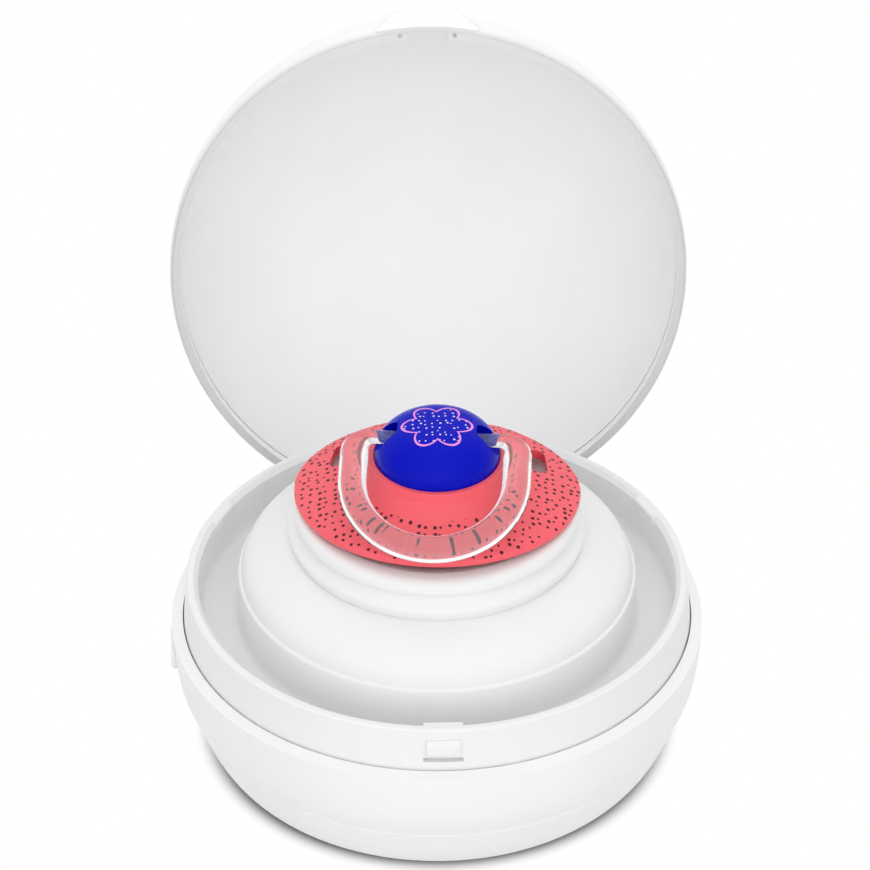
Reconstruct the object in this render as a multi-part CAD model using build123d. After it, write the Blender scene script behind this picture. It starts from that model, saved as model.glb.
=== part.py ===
"""Portable UV-C case for one soother: a round clamshell pod, shown with its lid open.

Millimetres. Origin at the centre of the foot plane, +Z up, the catch faces -Y and the
hinge is at +Y. Every sub-part is written to parts/NODE.step, in its place in the case.
"""

import os

from build123d import *
from math import cos, radians, sin, sqrt

# ---------------------------------------------------------------- driving dimensions
# clearances
GAP = 0.3  # running gap between moving mouldings
FIT = 0.05  # radial clearance of a pin in its bore
SEAT = 0.15  # gap between mouldings that are assembled once

# outer bowl: radii step inward from the lip, heights count from the table
WALL = 2.0
LIP_R = 53.4  # outer radius at the lip
LIP_Z = 33.0  # height of the lip's inner edge
LIP_BAND = 2.2  # width of the lip's top face
LIP_FALL = 0.75  # how far the top face falls outward
LIP_THICK = 3.0  # the thicker edge under the lip
SEAM_IN = 3.0  # the bowl is this much narrower at the parting line
SEAM_UNDER_BAY = 0.4  # the parting line runs just below the floor of the hinge bay
BELLY_IN = 7.8
BELLY_Z = 5.6
FOOT_IN = 18.9  # edge of the flat underside
FOOT_RISE = 0.6  # the underside above the table
TONGUE_H = 1.6  # the cover's locating tongue above the seam
TONGUE_T = 1.3
TONGUE_ROOT = 4.0  # how far the tongue's root reaches below the seam
SEAM_V = 0.25  # chamfer on both sides of the parting line

# silicone foot ring
FOOT_RING_IN = 1.5  # inward of the underside's edge
FOOT_RING_W = 6.0
FOOT_RING_SUNK = 0.8

# tray: rim wall, trough, domed pedestal
RIM_GAP = 0.3  # the dark line between rim wall and lip
RIM_RISE = 9.2  # rim top above the lip
RIM_TAPER = 0.7  # the rim wall leans inward
RIM_TOP_W = 1.4
RIM_CHAMFER = 0.9
RIM_FOOT = 2.7  # rim top to the outer foot of the trough
TROUGH_DROP = 0.0  # trough below the lip
TROUGH_W = 7.7
TROUGH_FILLET = 1.8
TRAY_WALL = 2.0
DOME_WALL_H = 10.5  # straight wall of the pedestal above the trough
DOME_RISE = 8.7  # from the pedestal's shoulder to the land
LAND_HOLE_R = 21.0
SHELF_DROP = 2.2  # ledge of the shell, below the lip, that carries the tray
SHELF_W = 3.2
SHELF_T = 1.2

# rim lugs, front catch
LUG_W = 7.6
LUG_IN = 0.5  # how far a lug stands inward of the rim
LUG_H = 3.6
LUG_AZ = (270, 26, 154)
CATCH_W = 6.4
CATCH_H = 4.2
CATCH_PROUD = 0.7
CATCH_BELOW_TOP = 2.2
SLOT_W = 7.7
SLOT_H = 0.9
SLOT_DEEP = 1.2

# collar and teat well
COLLAR_OUT = 0.1  # collar outside the shield's half width
COLLAR_H = 8.3
COLLAR_ROUND = 2.2
BEAD_OUT = 1.1  # bead at the collar's foot
GROOVE_IN = 1.0
LAND_OUT = 0.8
WELL_R = 13.6
WELL_WALL = 1.4
WELL_LIP = 0.8  # bevel at the well's mouth
FLANGE_W = 4.0  # flange of the cup under the land
FLANGE_T = 1.6
TEAT_ROOM = 10.3  # from the teat's tip to the well's floor
WINDOW_T = 1.2
WINDOW_R = 11.6
WINDOW_LEDGE = 1.2
WINDOW_DROP = 0.8  # window below the well's floor
LED_BOARD_T = 1.6
LED_DROP = 3.4  # board face below the well's floor
LED_SIZE = 3.5
LED_H = 1.0
LED_RING = 5.2
LED_COUNT = 3

# lid
LID_OUT = 0.9  # the lid overhangs the lip
LID_DEPTH = 49.5
LID_WALL = 2.2
LID_BAND = 2.8  # bevelled band between end face and widest point
LID_END_W = 1.4
LID_TURN = 102.6  # opening angle
TAB_W = 20.0
TAB_OUT = 4.5
TAB_T = 2.4
TAB_UP = 1.2  # tab above the lid's edge
TAB_ROUND = 0.8
NOTCH_W = 8.4
NOTCH_DEEP = 1.0
NOTCH_H = 3.4
DIMPLE_R = 0.45
DIMPLE_X = 5.6
DIMPLE_DEEP = 0.5
GATE_R = 0.9
GATE_DEEP = 0.4
GATE_WITNESS = 0.15  # shallow mark inside, opposite the gate

# hinge
HINGE_IN = 5.2  # pivot inward of the lip
HINGE_DROP = 10.0  # pivot below the lip
PIN_R = 1.25
BARREL_R = 4.2
LEAF_HALF = 11.9
LEAF_T = 1.9
BAY_SIDE = 0.5
BAY_WALL = 1.8
KNUCKLE_HALF = 3.4  # middle stretch of the barrel, relieved round a web
WEB_H = 2.6

# start button
BUTTON_AZ = 181.7
BUTTON_DROP = 7.6  # below the lip
BUTTON_L = 10.4
BUTTON_H = 6.0
BUTTON_PROUD = 0.8
BUTTON_BEVEL = 0.55
BUTTON_TRAVEL = 0.6
BUTTON_FLANGE = 0.8
BUTTON_FLANGE_T = 1.2
BUTTON_FRAME = 1.0  # wall of the frame round the flange
SWITCH_GAP = 0.12  # plunger behind the fully pressed button
SWITCH_H = 2.0
SWITCH_BOARD_T = 1.2

# charging socket and its cover
PORT_UP = 0.5  # above the middle between the cover's floor and the parting line
PORT_W = 9.0
PORT_H = 3.2
PORT_L = 7.4
PORT_SET_IN = 1.2  # mouth of the socket inside the wall
PORT_ROOM = 0.5
FLAP_W = 13.0
FLAP_H = 7.4
FLAP_T = 1.3
FLAP_CORNER = 1.2
PLUG_L = 0.9

# inner parts
BOARD_T = 1.6
BOARD_W = 36.0
BOARD_L = 24.0
BOARD_POST_R = 1.8
BOARD_POST_IN = 4.0
CELL_W = 34.0
CELL_L = 40.0
CELL_H = 8.0
CELL_Y = -12.0
PAD_T = 0.8
PAD_INSET = 2.0
RIB_T = 1.2  # ribs beside the cell
RIB_L = 8.0
POST_OUT = 0.8  # screw circle outside the pedestal's foot
POST_R = 3.2
POST_Z = 12.0  # joint between cover boss and tray post
POST_AZ = (30, 150, 270)
SCREW_R = 1.3
SCREW_HEAD_R = 2.4
SCREW_HEAD_H = 1.8
SCREW_SEAT_Z = 5.8
SCREW_LEN = 11.0

# soother
SOOTHER_TURN = -4.5  # the soother lies a little turned in its seat
SHIELD_LIFT = 0.5  # shield above the collar
SHIELD_T = 1.9
SHIELD_HALF_W = 28.4
SHIELD_FRONT = 25.0  # reach to the front and to the back of the teat's axis
SHIELD_BACK = 22.0
SHIELD_WIDE_Y = 1.5  # the widest line lies behind the axis
SHIELD_DIP = 3.0  # nose dip in the back edge
SHIELD_DIP_R = 26.0
SHIELD_DOME_R = 70.0
VENT_X = 19.5
VENT_Y = 7.6
VENT_L = 8.6
VENT_W = 3.6
VENT_LEAN = 8.0
NECK_R = 14.6
NECK_TOP_R = 13.7
NECK_H = 2.4  # neck above the crown of the shield
NECK_FLARE = 19.0  # where the neck runs out into the shield
NECK_LIP = 0.6  # lip of the neck round the cap's foot
CAP_R = 12.4
CAP_H = 7.8
CAP_NOTCH_R = 2.9  # open notch round each end of the handle's bar
CAP_NOTCH_X = 7.8
TEAT_LEN = 30.0
TEAT_NECK_R = 5.6
TEAT_FLANGE_W = 2.6
TEAT_FLANGE_T = 1.5
TEAT_BULB_R = 8.2
PIVOT_UP = 4.4  # handle's pivot above the neck
RING_HALF_W = 16.0  # centre line of the handle
RING_TUBE_R = 2.8
RING_FLAT = 0.82  # height of the oval tube against its width
RING_REACH = 26.6
RING_BEND_R = 4.0  # centre line of the bend from arm to bar
RING_BAR_R = 1.3
RING_DIP = 18.0  # how far the handle leans down at rest

# ---------------------------------------------------------------- derived sizes
SEAM_R = LIP_R - SEAM_IN
BELLY_R = LIP_R - BELLY_IN
FOOT_R = LIP_R - FOOT_IN
FOOT_RING_R = FOOT_R - FOOT_RING_IN
LIP_IN = LIP_R - LIP_BAND
RIM_R = LIP_IN - RIM_GAP
RIM_TOP = LIP_Z + RIM_RISE
RIM_TOP_R = RIM_R - RIM_TAPER
TROUGH_R = RIM_TOP_R - RIM_FOOT
TROUGH_Z = LIP_Z - TROUGH_DROP
TRAY_UNDER = TROUGH_Z - TRAY_WALL
DOME_R = TROUGH_R - TROUGH_W
SHELF_Z = LIP_Z - SHELF_DROP
POST_PCD_R = DOME_R + POST_OUT
COLLAR_R = SHIELD_HALF_W + COLLAR_OUT
COLLAR_BEAD_R = COLLAR_R + BEAD_OUT
COLLAR_GROOVE_R = COLLAR_R - GROOVE_IN
LAND_R = COLLAR_R + LAND_OUT
LAND_Z = TROUGH_Z + DOME_WALL_H + DOME_RISE
COLLAR_TOP = LAND_Z + COLLAR_H
WELL_OUT_R = WELL_R + WELL_WALL
CROWN_SAG = SHIELD_DOME_R - sqrt((SHIELD_DOME_R - SHIELD_T) ** 2 - (COLLAR_R - COLLAR_ROUND) ** 2)
SHIELD_CROWN = COLLAR_TOP + SHIELD_LIFT + CROWN_SAG  # the shield's outer face on the axis
TEAT_TIP_Z = SHIELD_CROWN - SHIELD_T - TEAT_LEN
WELL_FLOOR_Z = TEAT_TIP_Z - TEAT_ROOM
LED_BOARD_Z = WELL_FLOOR_Z - LED_DROP
NECK_TOP = SHIELD_CROWN + NECK_H
RING_PIVOT_Z = NECK_TOP + PIVOT_UP
LID_Z = LIP_Z + GAP
LID_R = LIP_R + LID_OUT
LID_IN = LID_R - LID_WALL
HINGE_Y = LIP_R - HINGE_IN
HINGE_Z = LIP_Z - HINGE_DROP
BAY_HALF = LEAF_HALF + BAY_SIDE
BAY_R = BARREL_R + 2 * GAP  # room round the barrel
SEAM_Z = HINGE_Z - (BAY_R + BAY_WALL + SEAM_UNDER_BAY)  # parting line of shell and cover
PIVOT = (0, HINGE_Y, HINGE_Z)
LEAN = radians(LID_TURN)
LEAF_OUT = LIP_R - 0.1
BUTTON_Z = LIP_Z - BUTTON_DROP
PORT_Z = (FOOT_RISE + WALL + SEAM_Z) / 2 + PORT_UP
BOARD_Z = PORT_Z - PORT_H / 2 - BOARD_T


def opened_point(y, z):
    """Where a point of the closed lid lies in the YZ plane once the lid is open."""
    dy = y - HINGE_Y
    dz = z - HINGE_Z
    return (
        HINGE_Y + dy * cos(LEAN) + dz * sin(LEAN),
        HINGE_Z - dy * sin(LEAN) + dz * cos(LEAN),
    )


def sill_height():
    """The open leaf's outer face lies a running gap above the sill of the hinge bay."""
    y0, z0 = opened_point(HINGE_Y + BARREL_R, HINGE_Z)
    y1, z1 = opened_point(LEAF_OUT, LID_Z)
    slope = (z1 - z0) / (y1 - y0)
    return z0 + slope * (SEAM_R + 0.5 - y0) - GAP


SILL_Z = sill_height()
CATCH_TOP = RIM_TOP - CATCH_BELOW_TOP
BUTTON_DIR = Vector(cos(radians(BUTTON_AZ)), sin(radians(BUTTON_AZ)), 0)
AT_BUTTON = Pos(0, 0, BUTTON_Z) * Rot(0, 0, BUTTON_AZ)


# ---------------------------------------------------------------- helpers
def polar(radius, azimuth, z=0.0):
    """A point at a radius and azimuth in degrees."""
    a = radians(azimuth)
    return (radius * cos(a), radius * sin(a), z)


def turned(face_builder):
    """Revolve a profile drawn in the XZ plane about Z."""
    with BuildPart() as part:
        with BuildSketch(Plane.XZ):
            with BuildLine():
                face_builder()
            make_face()
        revolve(axis=Axis.Z)
    return part.part


def tube(outer, inner, z0, z1):
    """A ring of rectangular section about Z."""
    body = Pos(0, 0, z0) * Cylinder(outer, z1 - z0, align=(Align.CENTER, Align.CENTER, Align.MIN))
    if inner > 0:
        body -= Pos(0, 0, z0 - 1) * Cylinder(
            inner, z1 - z0 + 2, align=(Align.CENTER, Align.CENTER, Align.MIN)
        )
    return body


def block(x0, x1, y0, y1, z0, z1):
    """A box between two corners."""
    return Pos((x0 + x1) / 2, (y0 + y1) / 2, (z0 + z1) / 2) * Box(x1 - x0, y1 - y0, z1 - z0)


def rod(radius, x0, x1, y, z):
    """A round bar along X."""
    return Pos((x0 + x1) / 2, y, z) * Rot(0, 90, 0) * Cylinder(radius, x1 - x0)


def one(shape):
    """The largest solid of a shape."""
    return max(shape.solids(), key=lambda s: s.volume)


# ---------------------------------------------------------------- outer bowl
def bowl_points(inset):
    """Belly curve of the bowl, moved inward by inset."""
    return (
        (FOOT_R, FOOT_RISE + inset),
        (BELLY_R - 0.72 * inset, BELLY_Z + 0.70 * inset),
        (SEAM_R - 0.97 * inset, SEAM_Z + 0.2 * inset),
        (LIP_R - inset, LIP_Z - LIP_FALL),
    )


def bowl_body(inset, top):
    """Solid of revolution inside the bowl's belly curve, up to a height."""

    def profile():
        points = bowl_points(inset)
        last = points[-1]
        Line((0, FOOT_RISE + inset), points[0])
        Spline(*points, tangents=((1, 0.18), (0.04, 1)))
        Line(last, (last[0], top))
        Line((last[0], top), (0, top))
        Line((0, top), (0, FOOT_RISE + inset))

    return turned(profile)


def bowl_radius(z):
    """Outer radius of the bowl at a height, measured on its own surface."""
    slice_ = bowl_body(0, LIP_Z) & block(0, 2 * LIP_R, -0.01, 0.01, z - 0.01, z + 0.01)
    return slice_.bounding_box().max.X


def bowl_wall():
    """The whole hollow bowl with its sloping lip, before it is parted."""
    outer = bowl_body(0, LIP_Z + 1)
    inner = bowl_body(WALL, LIP_Z + 2)

    def above_lip():
        Polyline(
            (LIP_IN, LIP_Z),
            (LIP_R + 1, LIP_Z - LIP_FALL * (LIP_BAND + 1) / LIP_BAND),
            (LIP_R + 1, LIP_Z + 3),
            (0, LIP_Z + 3),
            (0, LIP_Z),
            close=True,
        )

    low = LIP_Z - LIP_THICK
    band = tube(LIP_R, LIP_IN, low, LIP_Z + 1) & outer
    lead = turned(
        lambda: Polyline(
            (LIP_IN, low),
            (LIP_R - WALL + 0.3, low),
            (LIP_R - WALL + 0.3, low - 0.4),
            close=True,
        )
    )
    return outer - inner + band + lead - turned(above_lip)


def groove(z, up):
    """Chamfer ring that breaks the outer edge at the parting line."""
    return turned(
        lambda: Polyline(
            (SEAM_R - SEAM_V, z),
            (SEAM_R + 1, z),
            (SEAM_R + 1, z + up * (SEAM_V + 1)),
            close=True,
        )
    )


def hinge_bay_hollow():
    """The space that the hinge leaf and barrel move in."""
    swept = rod(BAY_R, -BAY_HALF, BAY_HALF, HINGE_Y, HINGE_Z)
    mouth = block(-BAY_HALF, BAY_HALF, HINGE_Y, LIP_R + 5, SILL_Z, LIP_Z + 5)
    roof = block(-BAY_HALF, BAY_HALF, HINGE_Y - BAY_R, LIP_R + 5, HINGE_Z, LIP_Z + 5)
    return swept + mouth + roof


def button_tool(length, height, r0, r1):
    """A pill-shaped prism along the button's axis, between two radii."""
    plane = Plane(
        origin=polar(r0, BUTTON_AZ, BUTTON_Z),
        x_dir=(-BUTTON_DIR.Y, BUTTON_DIR.X, 0),
        z_dir=tuple(BUTTON_DIR),
    )
    with BuildPart() as part:
        with BuildSketch(plane):
            SlotOverall(length, height)
        extrude(amount=r1 - r0)
    return part.part


def button_room():
    """Room in which the button's flange slides."""
    half_l = BUTTON_L / 2 + BUTTON_FLANGE + GAP
    half_h = BUTTON_H / 2 + BUTTON_FLANGE + GAP
    return AT_BUTTON * block(0, LIP_R + 1, -half_l, half_l, -half_h, half_h)


def button_frame():
    """Frame round the flange, which the switch board closes."""
    half_l = BUTTON_L / 2 + BUTTON_FLANGE + GAP + BUTTON_FRAME
    half_h = BUTTON_H / 2 + BUTTON_FLANGE + GAP + BUTTON_FRAME
    frame = block(frame_inner_r(), LIP_R, -half_l, half_l, -half_h, half_h)
    return AT_BUTTON * frame - button_room()


def tongue_ring(gap):
    """The cover's locating tongue above the parting line, grown by a gap."""
    outer = SEAM_R - WALL - SEAT
    return tube(outer + gap, outer - TONGUE_T - gap, SEAM_Z, SEAM_Z + TONGUE_H + gap)


def tongue_break():
    """The stretch round the hinge bay where the tongue is left out."""
    cheeks = BAY_HALF + BAY_WALL + GAP
    front = HINGE_Y - BAY_R - BAY_WALL - GAP
    return block(-cheeks, cheeks, front, LIP_R + 5, SEAM_Z - 0.001, SEAM_Z + 5)


def outer_shell():
    """Upper bowl: lip, tray ledge, hinge bay and button hole."""
    wall = bowl_wall() & tube(LIP_R + 5, 0, SEAM_Z, LIP_Z + 5)
    wall -= groove(SEAM_Z, 1)
    inside = bowl_body(WALL / 2, LIP_Z + 2)
    ledge = turned(
        lambda: Polyline(
            (LIP_R - 1, SHELF_Z),
            (LIP_R - WALL - SHELF_W, SHELF_Z),
            (LIP_R - WALL - SHELF_W, SHELF_Z - SHELF_T),
            (LIP_R - 1, SHELF_Z - SHELF_T - SHELF_W),
            close=True,
        )
    )
    cheeks = BAY_HALF + BAY_WALL
    bay = block(-cheeks, cheeks, HINGE_Y - BAY_R - BAY_WALL, LIP_R, SEAM_Z, SHELF_Z)
    shell = wall + (ledge & inside) - (button_room() & bowl_body(WALL, LIP_Z))
    shell += (bay & inside) + (button_frame() & inside)
    shell -= hinge_bay_hollow()
    shell -= rod(PIN_R + FIT, -cheeks - 1, cheeks + 1, HINGE_Y, HINGE_Z)
    shell -= button_tool(BUTTON_L + 2 * GAP, BUTTON_H + 2 * GAP, LIP_R - 12, LIP_R + 4)
    shell -= flap_pocket(GAP)
    shell -= tongue_ring(FIT) - tongue_break()
    return one(shell)


def flap_pocket(gap):
    """Recess for the cover of the charging socket."""
    half = FLAP_W / 2 + gap
    y0 = bowl_radius(PORT_Z) - FLAP_T - gap
    body = block(-half, half, y0, y0 + 8, PORT_Z - FLAP_H / 2 - gap, PORT_Z + FLAP_H / 2 + gap)
    return fillet(body.edges().filter_by(Axis.Y), FLAP_CORNER + gap)


def bottom_cover():
    """Lower bowl: flat underside, tongue, screw bosses, socket opening, board posts."""
    wall = bowl_wall() & tube(LIP_R + 5, 0, -5, SEAM_Z)
    wall -= groove(SEAM_Z, -1)
    outer = bowl_body(0.2, LIP_Z)
    inner_r = SEAM_R - WALL - SEAT
    root_z = SEAM_Z - TONGUE_ROOT
    tongue = tube(inner_r, inner_r - TONGUE_T, root_z, SEAM_Z) & bowl_body(0, LIP_Z)
    tongue += tube(inner_r + 1, inner_r - TONGUE_T, root_z, SEAM_Z) & outer
    tongue += tongue_ring(0)
    cover = wall + (tongue - tongue_break())
    for azimuth in POST_AZ:
        x, y, _ = polar(POST_PCD_R, azimuth)
        boss = Pos(x, y, 0) * tube(POST_R, 0, FOOT_RISE, POST_Z)
        cover += boss & outer
    for side in (-1, 1):
        for y in (board_y0() + BOARD_POST_IN, board_y0() + BOARD_L - BOARD_POST_IN):
            x = side * (BOARD_W / 2 - BOARD_POST_IN)
            cover += (Pos(x, y, 0) * tube(BOARD_POST_R, 0, FOOT_RISE + 1, BOARD_Z)) & outer
    for side in (-1, 1):
        for y in (CELL_Y - CELL_L / 4, CELL_Y + CELL_L / 4):
            x = side * (CELL_W / 2 + SEAT + RIB_T / 2)
            rib_top = FOOT_RISE + WALL + PAD_T + CELL_H / 2
            rib = Pos(x, y, 0) * block(
                -RIB_T / 2, RIB_T / 2, -RIB_L / 2, RIB_L / 2, FOOT_RISE + 1, rib_top
            )
            cover += rib & outer
    for azimuth in POST_AZ:
        x, y, _ = polar(POST_PCD_R, azimuth)
        cover -= Pos(x, y, 0) * tube(SCREW_R + 0.15, 0, -1, POST_Z + 1)
        cover -= Pos(x, y, 0) * tube(SCREW_HEAD_R + 0.25, 0, -1, SCREW_SEAT_Z)
    ring_in = FOOT_RING_R - FOOT_RING_W
    cover -= tube(FOOT_RING_R + SEAT, ring_in - SEAT, -1, FOOT_RISE + FOOT_RING_SUNK)
    cover -= flap_pocket(GAP)
    half_w = PORT_W / 2 + PORT_ROOM
    half_h = PORT_H / 2 + PORT_ROOM
    cover -= block(-half_w, half_w, SEAM_R - 12, SEAM_R + 5, PORT_Z - half_h, PORT_Z + half_h)
    return one(cover)


def foot_ring():
    """Soft ring pressed in the cover's groove; the case stands on it."""
    ring = tube(FOOT_RING_R, FOOT_RING_R - FOOT_RING_W, 0, FOOT_RISE + FOOT_RING_SUNK)
    low = ring.edges().group_by(Axis.Z)[0]
    return one(chamfer(low, 0.3))


# ---------------------------------------------------------------- tray
def tray_outline():
    """Tray profile: rim wall, trough, pedestal wall, S-curve to the collar's land."""
    shoulder = TROUGH_Z + DOME_WALL_H
    with BuildLine() as line:
        Polyline(
            (RIM_R, SHELF_Z),
            (RIM_R, LIP_Z + 0.6),
            (RIM_TOP_R, RIM_TOP - 0.4),
            (RIM_TOP_R - 0.4, RIM_TOP),
            (RIM_TOP_R - RIM_TOP_W, RIM_TOP),
            (RIM_TOP_R - RIM_TOP_W - RIM_CHAMFER, RIM_TOP - RIM_CHAMFER),
            (TROUGH_R + 0.1, TROUGH_Z + TROUGH_FILLET),
        )
        Bezier(
            (TROUGH_R + 0.1, TROUGH_Z + TROUGH_FILLET),
            (TROUGH_R, TROUGH_Z),
            (TROUGH_R - TROUGH_FILLET, TROUGH_Z),
        )
        Line((TROUGH_R - TROUGH_FILLET, TROUGH_Z), (DOME_R + TROUGH_FILLET, TROUGH_Z))
        Bezier(
            (DOME_R + TROUGH_FILLET, TROUGH_Z),
            (DOME_R + 0.1, TROUGH_Z),
            (DOME_R + 0.1, TROUGH_Z + TROUGH_FILLET),
        )
        Line((DOME_R + 0.1, TROUGH_Z + TROUGH_FILLET), (DOME_R, shoulder - 0.7))
        Bezier((DOME_R, shoulder - 0.7), (DOME_R, shoulder), (DOME_R - 0.6, shoulder + 0.1))
        Spline(
            (DOME_R - 0.6, shoulder + 0.1),
            (DOME_R - 4.4, shoulder + 5.8),
            (LAND_R, LAND_Z),
            tangents=((-0.15, 1), (-1, 0.22)),
        )
        Polyline(
            (LAND_R, LAND_Z),
            (LAND_HOLE_R, LAND_Z),
            (LAND_HOLE_R, LAND_Z - TRAY_WALL),
            (LAND_R - 1, LAND_Z - TRAY_WALL),
        )
        Spline(
            (LAND_R - 1, LAND_Z - TRAY_WALL),
            (DOME_R - 6.2, shoulder + 4.4),
            (DOME_R - TRAY_WALL - 0.4, shoulder - 1),
            tangents=((1, -0.22), (0.15, -1)),
        )
        Polyline(
            (DOME_R - TRAY_WALL - 0.4, shoulder - 1),
            (DOME_R - TRAY_WALL, TRAY_UNDER),
            (RIM_R - TRAY_WALL, TRAY_UNDER),
            (RIM_R - TRAY_WALL, SHELF_Z),
            (RIM_R, SHELF_Z),
        )
    return line


def rim_wall_radius(z):
    """Outer radius of the tapered rim wall at a height."""
    share = (z - LIP_Z - 0.6) / (RIM_RISE - 1.0)
    return RIM_R + (RIM_TOP_R - RIM_R) * share


def inner_tray():
    """Tray moulding with lugs, catch, catch slot and screw posts."""
    with BuildPart() as part:
        with BuildSketch(Plane.XZ):
            add(tray_outline())
            make_face()
        revolve(axis=Axis.Z)
    tray = part.part
    inner = RIM_TOP_R - RIM_TOP_W - RIM_CHAMFER - LUG_IN
    with BuildPart() as lug:
        with BuildSketch(Plane.XZ.offset(-LUG_W / 2)):
            with BuildLine():
                Polyline(
                    (RIM_TOP_R - 0.6, RIM_TOP),
                    (inner + 0.3, RIM_TOP),
                    (inner, RIM_TOP - 0.3),
                    (inner, RIM_TOP - LUG_H + 2 * LUG_IN),
                    (inner + 2 * LUG_IN, RIM_TOP - LUG_H),
                    (RIM_TOP_R - 0.6, RIM_TOP - LUG_H),
                    close=True,
                )
            make_face()
        extrude(amount=LUG_W)
    for azimuth in LUG_AZ:
        tray += Rot(0, 0, azimuth) * lug.part
    catch_r = rim_wall_radius(CATCH_TOP - CATCH_H / 2) + CATCH_PROUD
    with BuildPart() as catch:
        with BuildSketch(Plane.XZ.offset(-CATCH_W / 2)):
            with BuildLine():
                Polyline(
                    (catch_r - 2.4, CATCH_TOP),
                    (catch_r - 0.5, CATCH_TOP),
                    (catch_r, CATCH_TOP - 1.3),
                    (catch_r, CATCH_TOP - CATCH_H + 0.9),
                    (catch_r - 0.6, CATCH_TOP - CATCH_H),
                    (catch_r - 2.4, CATCH_TOP - CATCH_H),
                    close=True,
                )
            make_face()
        extrude(amount=CATCH_W)
    tray += Rot(0, 0, 270) * catch.part
    slot_top = CATCH_TOP - CATCH_H
    slot_r = rim_wall_radius(slot_top)
    slot = block(slot_r - SLOT_DEEP, slot_r + 2, -SLOT_W / 2, SLOT_W / 2, slot_top - SLOT_H, slot_top)
    tray -= Rot(0, 0, 270) * slot
    for azimuth in POST_AZ:
        x, y, _ = polar(POST_PCD_R, azimuth)
        tray += Pos(x, y, 0) * tube(POST_R, 0, POST_Z, TRAY_UNDER + 0.5)
        tray -= Pos(x, y, 0) * tube(SCREW_R, 0, POST_Z - 1, SCREW_SEAT_Z + SCREW_LEN + 0.8)
    tray -= leaf_relief()
    return one(tray)


def leaf_relief():
    """Room for the hinge leaf behind the tray's hidden spigot."""
    ring = tube(LIP_R + 5, RIM_R - GAP, SHELF_Z - 2, LIP_Z + 0.2)
    return ring & block(-BAY_HALF, BAY_HALF, 0, LIP_R + 5, 0, LIP_Z + 5)


def seat_collar():
    """Separate collar on the pedestal: bead, groove, rounded rim, funnel into the well."""
    bore = WELL_OUT_R + SEAT
    with BuildPart() as part:
        with BuildSketch(Plane.XZ):
            with BuildLine():
                Spline(
                    (LAND_R - 0.4, LAND_Z),
                    (COLLAR_BEAD_R, LAND_Z + 2.5),
                    (COLLAR_GROOVE_R, LAND_Z + 4.9),
                    tangents=((0.5, 1), (-0.6, 1)),
                )
                Line((COLLAR_GROOVE_R, LAND_Z + 4.9), (COLLAR_R - 0.2, LAND_Z + 5.5))
                Line((COLLAR_R - 0.2, LAND_Z + 5.5), (COLLAR_R, COLLAR_TOP - COLLAR_ROUND))
                Bezier(
                    (COLLAR_R, COLLAR_TOP - COLLAR_ROUND),
                    (COLLAR_R, COLLAR_TOP),
                    (COLLAR_R - COLLAR_ROUND, COLLAR_TOP),
                )
                Line((COLLAR_R - COLLAR_ROUND, COLLAR_TOP), (COLLAR_R - 4.0, COLLAR_TOP))
                Spline(
                    (COLLAR_R - 4.0, COLLAR_TOP),
                    (bore + 3.0, COLLAR_TOP - 2.2),
                    (bore, COLLAR_TOP - 5.0),
                    tangents=((-1, -0.2), (-0.2, -1)),
                )
                Polyline(
                    (bore, COLLAR_TOP - 5.0),
                    (bore, LAND_Z),
                    (LAND_R - 0.4, LAND_Z),
                )
            make_face()
        revolve(axis=Axis.Z)
    return one(part.part)


def well_cup():
    """Bright reflector cup that the teat hangs in, with its flange and window ledge."""
    top = COLLAR_TOP - 5.4
    flange_top = LAND_Z - TRAY_WALL
    cup = tube(WELL_OUT_R, 0, LED_BOARD_Z, top)
    cup += tube(LAND_HOLE_R + FLANGE_W, 0, flange_top - FLANGE_T, flange_top)
    cup -= turned(
        lambda: Polyline(
            (0, WELL_FLOOR_Z),
            (WELL_R - 1.2, WELL_FLOOR_Z),
            (WELL_R, WELL_FLOOR_Z + 2.0),
            (WELL_R, top - WELL_LIP),
            (WELL_R + WELL_LIP, top + 0.1),
            (WELL_R + WELL_LIP, top + 2),
            (0, top + 2),
            close=True,
        )
    )
    cup -= tube(WINDOW_R - WINDOW_LEDGE, 0, LED_BOARD_Z - 1, WELL_FLOOR_Z + 1)
    cup -= tube(WINDOW_R + FIT, 0, LED_BOARD_Z - 1, WELL_FLOOR_Z - WINDOW_DROP)
    return one(cup)


def uv_window():
    """Quartz disc under the ledge of the cup."""
    top = WELL_FLOOR_Z - WINDOW_DROP
    return one(tube(WINDOW_R, 0, top - WINDOW_T, top))


def led_board():
    """Round board on the cup's lower end."""
    board = tube(WELL_OUT_R, 0, LED_BOARD_Z - LED_BOARD_T, LED_BOARD_Z)
    for azimuth in (90, 270):
        board -= Pos(*polar(WELL_OUT_R, azimuth)) * tube(1.6, 0, LED_BOARD_Z - 5, LED_BOARD_Z + 5)
    return one(board)


def uv_leds():
    """Ring of flat emitter packages on the board."""
    half = LED_SIZE / 2
    top = LED_BOARD_Z + LED_H
    chips = []
    for i in range(LED_COUNT):
        body = block(-half, half, -half, half, LED_BOARD_Z, top)
        lens = tube(LED_SIZE * 0.34, 0, top - 0.1, top + 0.3)
        chips.append(Rot(0, 0, 360 / LED_COUNT * i) * Pos(LED_RING, 0, 0) * one(body + lens))
    return Compound(children=chips)


# ---------------------------------------------------------------- electronics
def board_y0():
    """Front edge of the main board, behind the cell."""
    return port_mouth_y() - PORT_L - (BOARD_L - PORT_L - 1.0)


def port_mouth_y():
    """Mouth of the charging socket, just inside the cover's wall."""
    return bowl_radius(PORT_Z) - WALL - PORT_SET_IN


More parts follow.
